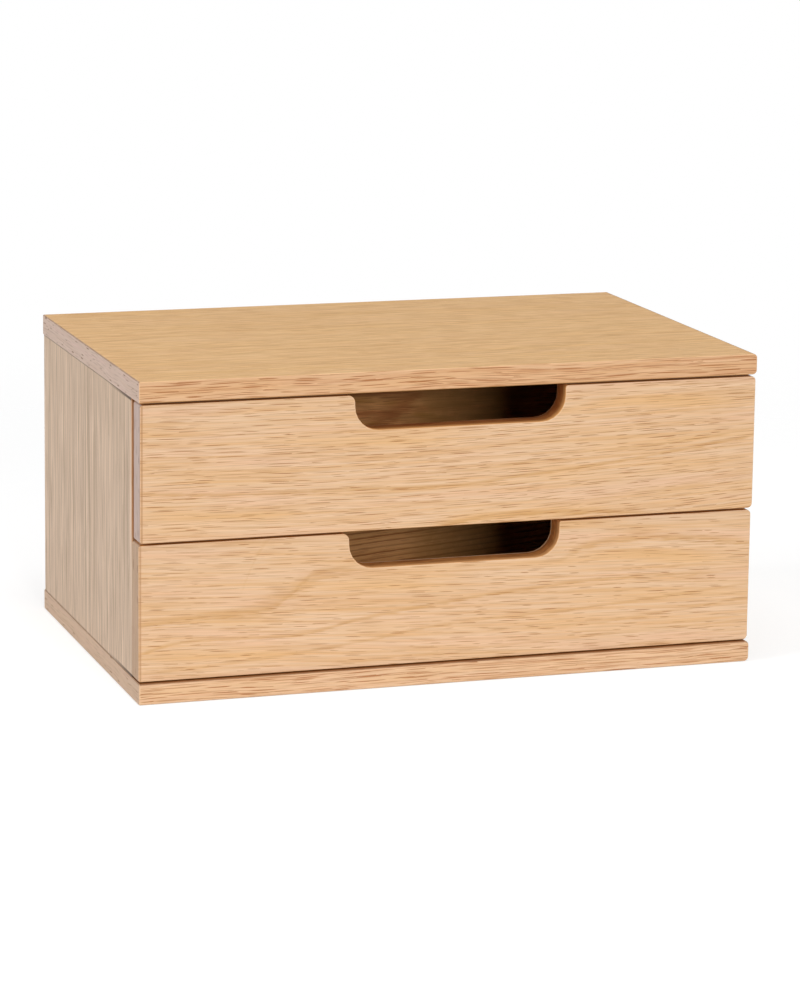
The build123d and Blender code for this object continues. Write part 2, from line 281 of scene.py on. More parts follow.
def seamLineGroup():
    # a thin line at one place across the piece, which may grow along another way; in millimetres
    tree, inp, out = startGroup("seam line", {"Way": (0.0, 0.0, 1.0), "At": 0.0, "Reach": 0.6, "Breakup": 0.3,
                                              "Along": (0.0, 0.0, 0.0), "Start": -1.0, "Stop": 0.0}, ["Line"])
    fine, contrast = 0.25, 4.0
    place = inMillimetres(tree, addNode(tree, "TexCoord").outputs["Object"])
    far = calc(tree, "SUBTRACT", vectorCalc(tree, "DOT_PRODUCT", place, inp["Way"]), inp["At"])
    far = calc(tree, "ABSOLUTE", far)
    rough = uneven(tree, scaled(tree, place, fine), 3.0)
    line = fade(tree, far, calc(tree, "MULTIPLY", inp["Reach"], 0.5), inp["Reach"], 1.0, 0.0)
    breaks = calc(tree, "MULTIPLY", inp["Breakup"], contrast)
    line = calc(tree, "MULTIPLY", line, calc(tree, "MULTIPLY_ADD", rough, breaks, 1.0, clamp=True))
    grown = fade(tree, vectorCalc(tree, "DOT_PRODUCT", place, inp["Along"]), inp["Start"], inp["Stop"])
    tree.links.new(calc(tree, "MULTIPLY", line, grown), out["Line"])
    return tree


def faceTurnGroup():
    # 1 where the surface cuts straight across the grain
    tree, inp, out = startGroup("face turn", {"Grain": (1.0, 0.0, 0.0)}, ["End"])
    starts, full = 0.55, 0.85
    normal = addNode(tree, "TexCoord").outputs["Normal"]
    turn = calc(tree, "ABSOLUTE", vectorCalc(tree, "DOT_PRODUCT", normal, inp["Grain"]))
    tree.links.new(fade(tree, turn, starts, full), out["End"])
    return tree


boardSpace = boardSpaceGroup()
grainWander = grainWanderGroup()
heartRings = heartRingsGroup()
ringLines = ringLinesGroup()
poreDashes = poreDashesGroup()
woodStreaks = streaksGroup()
edgeWearAndHighlight = edgeWearGroup()
slotRim = slotRimGroup()
faceTurn = faceTurnGroup()
figureLine = figureLineGroup()
seamLine = seamLineGroup()
print("wood groups built")


oakStart = {  # the drawer fronts' oak, which the other pieces change from
    "grain": (1, 0, 0), "across": (0, 0, 1), "through": (0, 1, 0), "seed": 0.0,
    "wander": 3.0, "wanderReach": 110.0, "wanderSpread": 24.0,
    "lift": None, "liftLevel": 20.0, "liftSpread": (1.0, 1.0), "liftHeight": 74.0,
    "heart": (20.0, -70.0), "ringWidth": 6.0, "lineWidth": 0.45, "ragged": 0.3, "ringAmount": 0.25,
    "figure": [], "figureAmount": 0.8, "figureTail": 12.0,
    "pale": (0.82, 0.56, 0.355), "deep": (0.75, 0.45, 0.225), "line": (0.61, 0.32, 0.105),
    "warm": (0.795, 0.48, 0.225), "pink": (0.82, 0.525, 0.34), "toneSize": (110.0, 11.0),
    "pore": (0.37, 0.135, 0.025), "poreAmount": 0.9, "poreDensity": 0.8, "poreCell": (27.0, 1.3),
    "poreSize": (7.0, 0.165), "poreInLine": 0.3,
    "thinCell": (42.0, 1.3), "thinSize": (18.0, 0.15), "thinAmount": 0.34, "thinDensity": 0.75,
    "fibre": 0.115, "fibreSize": (28.0, 0.5), "streakSize": (90.0, 2.0),
    "end": (0.52, 0.37, 0.285), "endDark": (0.33, 0.21, 0.155), "endAmount": 1.0,
    "edgePore": None, "edgeTint": (1, 1, 1), "edgeReach": None, "edgeDull": 0.0,
    "inner": None, "innerTurn": (0.45, 0.8), "shade": (1, 1, 1), "seams": [],
    # lighter edges: wear, and on the fronts and boards a painted highlight along the arrises
    "worn": (0.90, 0.62, 0.38), "wornAmount": 0.2, "wornReach": 1.0,
    "roughness": 0.58, "shine": 0.22, "bump": 0.25,
}
oakFine = {  # what all the oak has in common
    "curveSize": (350.0, 80.0),
    "seeds": {"thin": 7.3, "fibre": 3.0, "streak": 11.0, "tone": 23.0, "fleck": 31.0},
    "deepTurn": (-0.7, 0.9), "warmTurn": (0.0, 0.9, 0.0, 0.8), "pinkTurn": (-0.9, 0.0, 0.7, 0.0),
    "darkest": 0.1, "greenPower": 1.12, "bluePower": 1.3,  # dark fibres are warmer
    "poreShade": (0.45, 0.55), "edgeTurn": (0.6, 0.85), "edgeRest": 0.3,
    "fleckStretch": (1.0, 0.12, 1.0), "fleckSize": (9.0, 1.1), "fleckTurn": (0.25, 0.75, 0.0, 0.75),
    "endRings": 0.25, "slotBoxWear": 0.5,
    "rough": {"fibre": 0.05, "pore": 0.15, "worn": -0.08},
    "height": {"fibre": 0.12, "pore": -0.7, "line": -0.15}, "bumpDistance": 0.0004,
}


def heightAt(tree, points, along):
    length, height = oakFine["curveSize"]
    node = addNode(tree, "FloatCurve", {"Value": calc(tree, "DIVIDE", along, length)})
    curve = node.mapping.curves[0]
    marks = [(x / length, y / height) for x, y in points]
    for mark in marks[1:-1]:
        curve.points.new(*mark)
    curve.points[0].location = marks[0]
    curve.points[-1].location = marks[-1]
    node.mapping.update()
    return calc(tree, "MULTIPLY", node.outputs[0], height)


def streaksIn(tree, vector, size, kind, detail=2.0):
    return useGroup(tree, woodStreaks, vector=vector, length=size[0], width=size[1],
                    seed=oakFine["seeds"][kind], detail=detail)["Streak"]


def poresIn(tree, flow, facing, cell, size, amount, seed=0.0):
    return useGroup(tree, poreDashes, vector=flow, facing=facing, cellLength=cell[0], cellWidth=cell[1],
                    length=size[0], thickness=size[1], amount=amount, seed=seed)


def makeOak(name, box, start, slot=None, **changes):
    look = {**oakStart, **changes}
    material = bpy.data.materials.new(name)
    material.use_nodes = True
    tree = material.node_tree
    shader = tree.nodes["Principled BSDF"]
    placed = useGroup(tree, boardSpace, grain=look["grain"], across=look["across"],
                      through=look["through"], start=start)
    space = placed["Vector"]
    along, up, deep = parted(tree, space)
    flow = useGroup(tree, grainWander, vector=space, amount=look["wander"], reach=look["wanderReach"],
                    spread=look["wanderSpread"], seed=look["seed"])["Vector"]
    if look["lift"]:  # the whole grain climbs and falls along the board
        climb = calc(tree, "SUBTRACT", heightAt(tree, look["lift"], along), look["liftLevel"])
        spread = fade(tree, up, 0.0, look["liftHeight"], *look["liftSpread"], False)
        climb = calc(tree, "MULTIPLY", climb, spread)
        flow = vectorCalc(tree, "SUBTRACT", flow, joined(tree, 0.0, climb, 0.0))
    number = useGroup(tree, heartRings, vector=flow, heartAcross=look["heart"][0],
                      heartThrough=look["heart"][1], ringWidth=look["ringWidth"])["Ring"]
    ringLine = useGroup(tree, ringLines, ring=number, vector=space, width=look["lineWidth"],
                        ragged=look["ragged"])["Line"]
    drawn = calc(tree, "MULTIPLY", ringLine, look["ringAmount"])
    for points, thickness, strength in look["figure"]:  # the lines that show in the wood, drawn one by one
        ends = {"from": points[0][0] - look["figureTail"], "to": points[-1][0] + look["figureTail"]}
        line = useGroup(tree, figureLine, vector=space, height=heightAt(tree, points, along),
                        thickness=thickness, strength=strength * look["figureAmount"], **ends)["Line"]
        drawn = calc(tree, "MAXIMUM", drawn, line)
    density = calc(tree, "MULTIPLY_ADD", drawn, look["poreInLine"], look["poreDensity"])
    pores = poresIn(tree, flow, placed["Facing"], look["poreCell"], look["poreSize"], density)
    thinPores = poresIn(tree, flow, placed["Facing"], look["thinCell"], look["thinSize"],
                        look["thinDensity"], oakFine["seeds"]["thin"])
    fibre = streaksIn(tree, flow, look["fibreSize"], "fibre")
    streak = streaksIn(tree, flow, look["streakSize"], "streak")
    broad = streaksIn(tree, flow, look["toneSize"], "tone", 1.0)

    colour = tint(tree, fade(tree, streak, *oakFine["deepTurn"]), look["pale"], look["deep"])
    colour = tint(tree, fade(tree, broad, *oakFine["warmTurn"]), colour, look["warm"])
    colour = tint(tree, fade(tree, broad, *oakFine["pinkTurn"]), colour, look["pink"])
    colour = tint(tree, drawn, colour, look["line"])
    light = calc(tree, "MULTIPLY_ADD", fibre, look["fibre"], 1.0)
    light = calc(tree, "MAXIMUM", light, oakFine["darkest"])
    warmth = joined(tree, light, calc(tree, "POWER", light, oakFine["greenPower"]),
                    calc(tree, "POWER", light, oakFine["bluePower"]))
    colour = vectorCalc(tree, "MULTIPLY", colour, warmth)
    poreStrength = calc(tree, "MULTIPLY_ADD", pores["Shade"], *oakFine["poreShade"])
    poreMask = calc(tree, "MULTIPLY", pores["Pore"], calc(tree, "MULTIPLY", poreStrength, look["poreAmount"]))
    poreMask = calc(tree, "MAXIMUM", poreMask, calc(tree, "MULTIPLY", thinPores["Pore"], look["thinAmount"]))
    facing = parted(tree, placed["Facing"])
    turned = fade(tree, calc(tree, "ABSOLUTE", facing[1]), *oakFine["edgeTurn"])
    poreColour = tint(tree, turned, look["pore"], look["edgePore"] or look["pore"])
    colour = tint(tree, poreMask, colour, poreColour)
    edge = turned
    if look["edgeReach"]:  # the edges are darkest next to the face: painted shade of the seams
        edge = fade(tree, deep, look["edgeReach"] * 0.5, look["edgeReach"], 1.0, oakFine["edgeRest"])
        edge = calc(tree, "MULTIPLY", turned, edge)
    colour = tint(tree, edge, colour, look["edgeTint"], "MULTIPLY")
    if look["inner"]:  # the side turned to the drawers is darkened: painted shade
        side, shade = look["inner"]
        inside = fade(tree, calc(tree, "MULTIPLY", facing[2], side), *look["innerTurn"])
        colour = tint(tree, inside, colour, shade, "MULTIPLY")

    # end grain: dull, flecked across the grain
    end = useGroup(tree, faceTurn, grain=look["grain"])["End"]
    fleckSpace = vectorCalc(tree, "MULTIPLY", space, oakFine["fleckStretch"])
    flecks = streaksIn(tree, fleckSpace, oakFine["fleckSize"], "fleck", 3.0)
    endColour = tint(tree, fade(tree, flecks, *oakFine["fleckTurn"]), look["end"], look["endDark"])
    endColour = tint(tree, calc(tree, "MULTIPLY", ringLine, oakFine["endRings"]), endColour, look["endDark"])
    colour = tint(tree, calc(tree, "MULTIPLY", end, look["endAmount"]), colour, endColour)

    colour = tint(tree, 1.0, colour, look["shade"], "MULTIPLY")
    for amount, shade, place in look["seams"]:
        line = useGroup(tree, seamLine, **place)["Line"]
        colour = tint(tree, calc(tree, "MULTIPLY", line, amount), colour, shade)

    # lighter edges: wear, and on the fronts and boards a painted highlight along the arrises
    worn = useGroup(tree, edgeWearAndHighlight, low=box[0], high=box[1], reach=look["wornReach"])["Wear"]
    if slot:
        rim = useGroup(tree, slotRim, reach=look["wornReach"], **slot)["Rim"]
        worn = calc(tree, "MAXIMUM", calc(tree, "MULTIPLY", worn, oakFine["slotBoxWear"]), rim)
    colour = tint(tree, calc(tree, "MULTIPLY", worn, look["wornAmount"]), colour, look["worn"])
    tree.links.new(colour, shader.inputs["Base Color"])

    rough, height = oakFine["rough"], oakFine["height"]
    roughness = calc(tree, "MULTIPLY_ADD", fibre, rough["fibre"], look["roughness"])
    roughness = calc(tree, "MULTIPLY_ADD", pores["Pore"], rough["pore"], roughness)
    roughness = calc(tree, "MULTIPLY_ADD", turned, look["edgeDull"], roughness)
    roughness = calc(tree, "MULTIPLY_ADD", worn, rough["worn"], roughness)
    tree.links.new(roughness, shader.inputs["Roughness"])
    relief = calc(tree, "MULTIPLY", pores["Pore"], height["pore"])
    relief = calc(tree, "MULTIPLY_ADD", fibre, height["fibre"], relief)
    relief = calc(tree, "MULTIPLY_ADD", drawn, height["line"], relief)
    bump = addNode(tree, "Bump", {"Height": relief, "Strength": look["bump"],
                                  "Distance": oakFine["bumpDistance"]})
    tree.links.new(bump.outputs[0], shader.inputs["Normal"])
    shader.inputs["Specular IOR Level"].default_value = look["shine"]
    return material


def seam(amount, shade, way, at, reach, **more):
    return amount, shade, {"way": way, "at": at, "reach": reach, **more}


boardMesh = {"cornerSteps": 6, "arrisRings": 5, "smallest": 0.02}  # the smallest radius and step


# corners are (across, up, radius, arris of the edge that starts here), in millimetres
def outlineRing(corners, turn, arris=None):
    steps, ring = boardMesh["cornerSteps"], []
    for i, (x, y, radius, edge) in enumerate(corners):
        before, after = corners[i - 1], corners[(i + 1) % len(corners)]
        came = Vector((x - before[0], y - before[1])).normalized()
        goes = Vector((after[0] - x, after[1] - y)).normalized()
        first, second = (arris, arris) if arris is not None else (before[3], edge)
        a, b = first * (1 - math.sin(turn)), second * (1 - math.sin(turn))
        hollow = came.x * goes.y - came.y * goes.x < 0
        r = max(radius + ((a + b) / 2 if hollow else -(a + b) / 2), boardMesh["smallest"])
        corner = Vector((x, y)) + a * Vector((-came.y, came.x)) + b * Vector((-goes.y, goes.x))
        centre = corner + r * (goes - came)
        for k in range(steps + 1):
            t = math.pi / 2 * k / steps
            at = centre - goes * (r * math.cos(t)) + came * (r * math.sin(t))
            ring.append((at.x, at.y, (first + (second - first) * k / steps) * (1 - math.cos(turn))))
    return ring


# the outline is drawn out from low to high along the third way, with its edges rounded at both ends;
# cornerLooks and edgeLooks say which material each corner, and the edge after it, is made of
def roundedBoard(name, corners, low, high, farArris, place, body, nodeName, materials, cornerLooks=None,
                 edgeLooks=None):
    steps, bend = boardMesh["cornerSteps"], boardMesh["arrisRings"]
    turns = [math.pi / 2 * k / (bend - 1) for k in range(bend)]
    deepest = low + max(corner[3] for corner in corners) + boardMesh["smallest"]
    levels = [[(x, y, low + deep) for x, y, deep in outlineRing(corners, turn)] for turn in turns]
    levels.append([(x, y, deepest) for x, y, _ in outlineRing(corners, math.pi / 2)])
    levels += [[(x, y, high - deep) for x, y, deep in outlineRing(corners, turn, farArris)]
               for turn in turns[::-1]]
    mesh = bmesh.new()
    rings = [[mesh.verts.new(Vector(place(*point)) / perMetre) for point in level] for level in levels]
    count = len(rings[0])
    for r, (ring, above) in enumerate(zip(rings, rings[1:])):
        for k in range(count):
            after = (k + 1) % count
            face = mesh.faces.new((ring[k], ring[after], above[after], above[k]))
            if cornerLooks and 1 < r < len(rings) - 3:  # the outermost bands keep the face's own material
                corner, step = divmod(k, steps + 1)
                face.material_index = edgeLooks[corner] if step == steps else cornerLooks[corner]
    mesh.faces.new(rings[0][::-1])
    mesh.faces.new(rings[-1])
    bmesh.ops.recalc_face_normals(mesh, faces=mesh.faces)
    data = bpy.data.meshes.new(name)
    mesh.to_mesh(data)
    mesh.free()
    data.shade_smooth()
    piece = bpy.data.objects.new(name, data)
    bpy.context.scene.collection.objects.link(piece)
    for material in materials:
        data.materials.append(material)
    weighted = piece.modifiers.new("flat faces stay flat", "WEIGHTED_NORMAL")
    weighted.mode = "FACE_AREA"
    weighted.weight = 100
    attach(piece, body)
    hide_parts(nodeName)


def boxOf(name):
    low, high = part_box(name)
    return tuple(low), tuple(high)


def millimetresOf(box):
    return [[c * perMetre for c in corner] for corner in box]


def alongDepth(x, z, y):
    return (x, y, z)


def alongHeight(x, y, z):
    return (x, y, z)


# the side panels' oak is greyer and cooler than the fronts': painted cool shade of the left side
sides = {
    "arris": 0.5, "endArris": 0.05,
    "look": {"grain": (0, 0, 1), "across": (0, 1, 0), "through": (1, 0, 0),
             "wander": 2.5, "wanderReach": 160.0, "heart": (-160.0, 20.0), "ringWidth": 5.2,
             "lineWidth": 0.5, "ragged": 0.25, "ringAmount": 0.28,
             "pale": (0.72, 0.537, 0.393), "deep": (0.61, 0.449, 0.322), "line": (0.50, 0.36, 0.25),
             "warm": (0.68, 0.505, 0.369), "pink": (0.675, 0.501, 0.368), "pore": (0.25, 0.169, 0.11),
             "poreDensity": 0.85, "poreCell": (50.0, 1.5), "poreSize": (17.0, 0.21),
             "thinCell": (76.0, 1.3), "thinSize": (34.0, 0.2), "thinAmount": 0.7,
             "fibre": 0.46, "fibreSize": (150.0, 1.05), "streakSize": (190.0, 1.9), "toneSize": (140.0, 30.0),
             "edgeTint": (1.12, 1.02, 0.85), "wornAmount": 0.0},
    # dark joint lines at the top and bottom ends, partly painted shade of the seams
    "gap": (0.17, 0.10, 0.06), "gapAmount": 0.6, "gapReach": 0.65,
    # painted shade in the joints, darker towards the front
    "openGap": (0.09, 0.05, 0.03), "openReach": 1.43, "openInset": 0.3, "openFrom": 35.0,
    # painted shade of the narrow gap beside the upper drawer front, on the side's front edge and the front's
    # rear edge
    "stain": (0.50, 0.23, 0.10), "stainAmount": 0.85, "stainReach": 1.0, "stainBreakup": 0.1,
    "stainFrom": 70.0, "stainFull": 95.0,
    # the right side is warmer, with less of the painted cool shade
    "left": {"seed": 2.0}, "right": {"seed": 7.0, "shade": (1.1, 1.02, 0.9)},
}


boards = {
    "leftArris": 0.6, "rightArris": 2.4, "rearArris": 0.8, "frontArris": {"top": 0.5, "base": 0.9},
    "look": {"across": (0, 1, 0), "through": (0, 0, 1),
             "wander": 6.0, "wanderReach": 90.0, "wanderSpread": 50.0,
             "lineWidth": 0.35, "ragged": 0.35, "ringAmount": 0.5, "line": (0.60, 0.28, 0.10),
             "pale": (0.81, 0.52, 0.25), "deep": (0.745, 0.445, 0.19), "warm": (0.78, 0.475, 0.20),
             "pink": (0.79, 0.495, 0.245), "pore": (0.50, 0.25, 0.10), "edgePore": (0.40, 0.14, 0.03),
             "poreAmount": 0.95, "poreDensity": 0.95, "poreCell": (28.0, 1.6), "poreSize": (11.0, 0.27),
             "thinCell": (50.0, 1.6), "thinSize": (24.0, 0.25), "thinAmount": 0.6},
    # painted shade along the top board's lower edges, in the seam
    "underLine": {"top": [(0.9, (0.42, 0.165, 0.02))], "base": []}, "underReach": 0.75,
    # inner darkens the faces turned to the drawers: painted shade
    "top": {"heart": (110.0, -62.0), "ringWidth": 4.2, "seed": 4.0, "edgeTint": (0.99, 0.965, 1.18),
            "shade": (0.985, 0.98, 0.955), "inner": (-1.0, (0.45, 0.27, 0.10))},
    "base": {"heart": (110.0, -66.0), "ringWidth": 4.6, "seed": 9.0, "edgeTint": (1.03, 1.08, 1.42),
             "inner": (1.0, (0.27, 0.15, 0.06)), "innerTurn": (0.2, 0.5)},
}
endOak = {  # the thin strips glued over the cut ends; their greyer, cooler colours are partly their own and partly painted cool shade of the left ends
    "look": {"wander": 4.0, "wanderReach": 40.0, "lineWidth": 0.5, "ringWidth": 3.0, "ringAmount": 0.12,
             "pale": (0.655, 0.495, 0.405), "deep": (0.60, 0.44, 0.35), "line": (0.50, 0.35, 0.27),
             "warm": (0.615, 0.445, 0.345), "pink": (0.665, 0.475, 0.40), "toneSize": (50.0, 5.0),
             "streakSize": (40.0, 1.6), "pore": (0.25, 0.145, 0.095), "poreDensity": 0.5,
             "poreCell": (13.0, 2.6), "poreSize": (3.0, 0.36), "thinCell": (24.0, 1.8),
             "thinSize": (9.0, 0.26), "thinAmount": 0.35, "endAmount": 0.0, "wornAmount": 0.0},
    "glueShade": (0.30, 0.155, 0.075), "glueAmount": 0.8, "glueInset": 0.1, "glueReach": 0.5,
    "glueBreakup": 0.6, "stainReach": 1.3,
    "top": {"seed": 2.0}, "base": {"shade": (0.97, 0.915, 0.79), "seed": 14.0, "poreDensity": 0.14},
    "upper": {"shade": (0.88, 0.90, 0.96), "seed": 6.0},
    "lower": {"shade": (0.80, 0.715, 0.58), "seed": 8.0, "poreDensity": 0.2},
}


def makeEndOak(which, box, upright=False):
    (_, y0, z0), (_, y1, z1) = millimetresOf(box)
    grain, across = ((0, 0, 1), (0, 1, 0)) if upright else ((0, 1, 0), (0, 0, 1))
    near, far = (y0 + endOak["glueInset"], y1) if upright else (z1 - endOak["glueInset"], z0)
    seams = [seam(endOak["glueAmount"], endOak["glueShade"], across, near, endOak["glueReach"],
                  breakup=endOak["glueBreakup"])]
    # painted shade of the gap along the upper front's rear edge
    if which == "upper":
        seams.append(seam(sides["stainAmount"], sides["stain"], across, far, endOak["stainReach"],
                          breakup=sides["stainBreakup"]))
    return makeOak(which + "EndOak", box, box[0], grain=grain, across=across, through=(1, 0, 0), seams=seams,
                   **{**endOak["look"], **endOak[which]})


def makeBoard(nodeName, name, which):
    box = boxOf(nodeName)
    (x0, y0, z0), (x1, y1, z1) = millimetresOf(box)
    # painted shade along the lower edges, in the seam
    seams = [seam(*line, (0, 0, 1), z0, boards["underReach"]) for line in boards["underLine"][which]]
    oak = makeOak(name + "Oak", box, box[0], seams=seams, **{**boards["look"], **boards[which]})
    left, right, arris = boards["leftArris"], boards["rightArris"], boards["frontArris"][which]
    corners = [(x0, z0, left, arris), (x1, z0, right, arris), (x1, z1, right, arris), (x0, z1, left, arris)]
    roundedBoard(name, corners, y0, y1, boards["rearArris"], alongDepth, "case", nodeName,
                 [oak, makeEndOak(which, box)], [1, 1, 1, 1], [0, 1, 0, 1])


makeBoard("top_panel", "topBoard", "top")
makeBoard("base_panel", "baseBoard", "base")
print("top and base boards made")


def makeSide(which):
    nodeName, name = which + "_side_panel", which + "Side"
    box = boxOf(nodeName)
    (x0, y0, z0), (x1, y1, z1) = millimetresOf(box)
    up, inset = (0, 0, 1), sides["openInset"]
    # dark joint lines at both ends, partly painted shade of the seams
    seams = [seam(sides["gapAmount"], sides["gap"], up, z, sides["gapReach"]) for z in (z0, z1)]
    seams += [seam(1.0, sides["openGap"], up, z, sides["openReach"], breakup=0.0, along=(0, -1, 0),
                   start=sides["openFrom"], stop=-y0)
              for z in (z0 + inset, z1 - inset)]  # painted shade in the joints, darker towards the front
    # painted shade of the gap beside the upper drawer front, up the front edge
    seams.append(seam(sides["stainAmount"], sides["stain"], (0, 1, 0), y0, sides["stainReach"],
                      breakup=sides["stainBreakup"], along=up, start=sides["stainFrom"],
                      stop=sides["stainFull"]))
    oak = makeOak(name + "Oak", box, box[0], seams=seams, **{**sides["look"], **sides[which]})
    r, thin = sides["arris"], sides["endArris"]
    corners = [(x0, y0, r, thin), (x1, y0, r, thin), (x1, y1, r, thin), (x0, y1, r, thin)]
    roundedBoard(name, corners, z0, z1, thin, alongHeight, "case", nodeName, [oak])


makeSide("left")
makeSide("right")
print("case sides made")


fronts = {
    "leftCorner": 1.2, "rightCorner": 2.6, "frontArris": 0.32, "rearArris": 0.5, "rearLip": 0.2,
    "slotDepth": 19.6, "slotCorner": 13.5, "slotArris": 0.4, "leftLip": 4.0, "rightLip": 1.4,
    "cornerLine": (0.6, (0.48, 0.23, 0.10)), "cornerInset": 0.2, "cornerReach": 0.7,
    # painted shade along the fronts' bottom edges, in the seams
    "underLine": (0.85, (0.45, 0.17, 0.02)), "underReach": 0.4,
    "leftEdge": -175.0,  # where the grain of both is counted from
    # edgeTint darkens the top and bottom faces, most next to the face: painted shade of the seams
    "look": {"edgeTint": (0.64, 0.34, 0.06), "edgeReach": 4.0, "edgeDull": 0.3,
             "ringAmount": 0.1, "ringWidth": 9.0},
    "lower": {"shift": 1.6, "slotWidth": 120.0, "leftInset": 0.0, "floorRise": 0.0},
    "upper": {"shift": 3.4, "slotWidth": 119.4, "leftInset": 0.45, "floorRise": 0.25},
}
frontLooks = {  # each line of the figure: (along, up) in millimetres, thickness, strength
    "lower": {"seed": 1.0, "poreDensity": 0.72, "poreSize": (6.3, 0.16),
              "lift": [(0, 20), (90, 16.5), (200, 12), (290, 9.5), (350, 8)], "figure": [
        ([(0, 31), (40, 33.5), (67, 35), (82, 41), (92, 49), (102, 54), (122, 54.5)], 4.4, 0.75),
        ([(55, 33), (78, 40), (92, 47), (108, 53), (128, 54)], 9.0, 0.5),
        ([(0, 14), (25, 20), (60, 20), (87, 20), (125, 26.5), (162, 31.5), (212, 36.5), (275, 40), (330, 39)],
         2.2, 0.7),
        ([(0, 4), (82, 9.5), (125, 14), (170, 20), (250, 24), (350, 32)], 2.0, 0.5),
        ([(244, 55), (262, 60.5), (285, 61.5), (312, 60), (350, 55)], 4.2, 0.7),
        ([(190, 17), (250, 15), (300, 19), (350, 24)], 2.2, 0.4),
        ([(120, 3), (200, 6), (280, 9), (350, 11)], 1.8, 0.35),
        ([(62, 58), (66, 66), (72, 74)], 3.5, 0.3),
    ]},
    "upper": {"seed": 5.0, "poreDensity": 0.92, "poreSize": (8.4, 0.17), "liftSpread": (1.1, 0.3),
              "lift": [(0, 20), (110, 18.5), (200, 19.0), (270, 21.2), (350, 24.6)], "figure": [
        ([(0, 26.5), (75, 23), (112, 23), (175, 22), (212, 25), (275, 31), (350, 41)], 1.9, 0.75),
        ([(145, 30), (187, 30), (250, 36.5), (300, 39), (350, 45)], 1.5, 0.5),
        ([(170, 1), (207, 4), (250, 3), (283, 1)], 3.2, 0.85),
        ([(296, 11), (315, 15), (350, 21)], 4.5, 0.35),
        ([(0, 46), (57, 44), (120, 41), (200, 42)], 1.3, 0.45),
        ([(0, 57), (90, 55), (140, 54)], 1.2, 0.35),
        ([(0, 36), (60, 34.5), (130, 34)], 1.2, 0.35),
        ([(250, 58), (300, 59), (350, 62)], 1.8, 0.35),
    ]},
}
# the slots' cut walls; the front colour is painted light near the front face, the colour at the rear edge a
# painted highlight
slotWall = {
    "lower": {"deep": (0.43, 0.155, 0.042), "mid": (0.72, 0.315, 0.095), "front": (0.84, 0.44, 0.175),
              "lip": (0.97, 0.64, 0.38), "lipStart": 11.8},
    "upper": {"deep": (0.37, 0.11, 0.024), "mid": (0.54, 0.20, 0.058), "front": (0.86, 0.43, 0.15),
              "lip": (0.70, 0.40, 0.22), "lipStart": 12.6},
    "lineStretch": (0.13, 0.13, 1.0), "lines": {"length": 3.0, "width": 1.4, "seed": 5.0, "detail": 3.0},
    "blots": {"length": 9.0, "width": 4.0, "seed": 17.0}, "blotAmount": 0.7, "deepTurn": (-0.5, 0.7),
    "frontFrom": 0.5, "frontReach": 6.5, "lipFade": 0.4,
    "roughness": 0.55, "lineRough": 0.06, "bump": 0.3, "bumpDistance": 0.0002, "shine": 0.3,
}


def makeSlotOak(name, start, look):
    # the cut walls: dark red-brown, lighter towards the front face, which is painted light, and with a
    # painted highlight along the rear edge
    material = bpy.data.materials.new(name)
    material.use_nodes = True
    tree = material.node_tree
    shader = tree.nodes["Principled BSDF"]
    space = useGroup(tree, boardSpace, start=start)["Vector"]
    deep = parted(tree, space)[2]
    stretched = vectorCalc(tree, "MULTIPLY", space, slotWall["lineStretch"])
    lines = useGroup(tree, woodStreaks, vector=stretched, **slotWall["lines"])["Streak"]
    blots = useGroup(tree, woodStreaks, vector=space, **slotWall["blots"])["Streak"]
    tone = calc(tree, "ADD", lines, calc(tree, "MULTIPLY", blots, slotWall["blotAmount"]))
    colour = tint(tree, fade(tree, tone, *slotWall["deepTurn"]), look["deep"], look["mid"])
    # painted light: lighter towards the front face
    frontLight = fade(tree, deep, slotWall["frontFrom"], slotWall["frontReach"], 1.0, 0.0)
    colour = tint(tree, frontLight, colour, look["front"])
    # painted highlight along the rear edge
    lip = fade(tree, deep, look["lipStart"], look["lipStart"] + slotWall["lipFade"])
    colour = tint(tree, lip, colour, look["lip"])
    tree.links.new(colour, shader.inputs["Base Color"])
    roughness = calc(tree, "MULTIPLY_ADD", lines, slotWall["lineRough"], slotWall["roughness"])
    tree.links.new(roughness, shader.inputs["Roughness"])
    bump = addNode(tree, "Bump", {"Height": lines, "Strength": slotWall["bump"],
                                  "Distance": slotWall["bumpDistance"]})
    tree.links.new(bump.outputs[0], shader.inputs["Normal"])
    shader.inputs["Specular IOR Level"].default_value = slotWall["shine"]
    return material


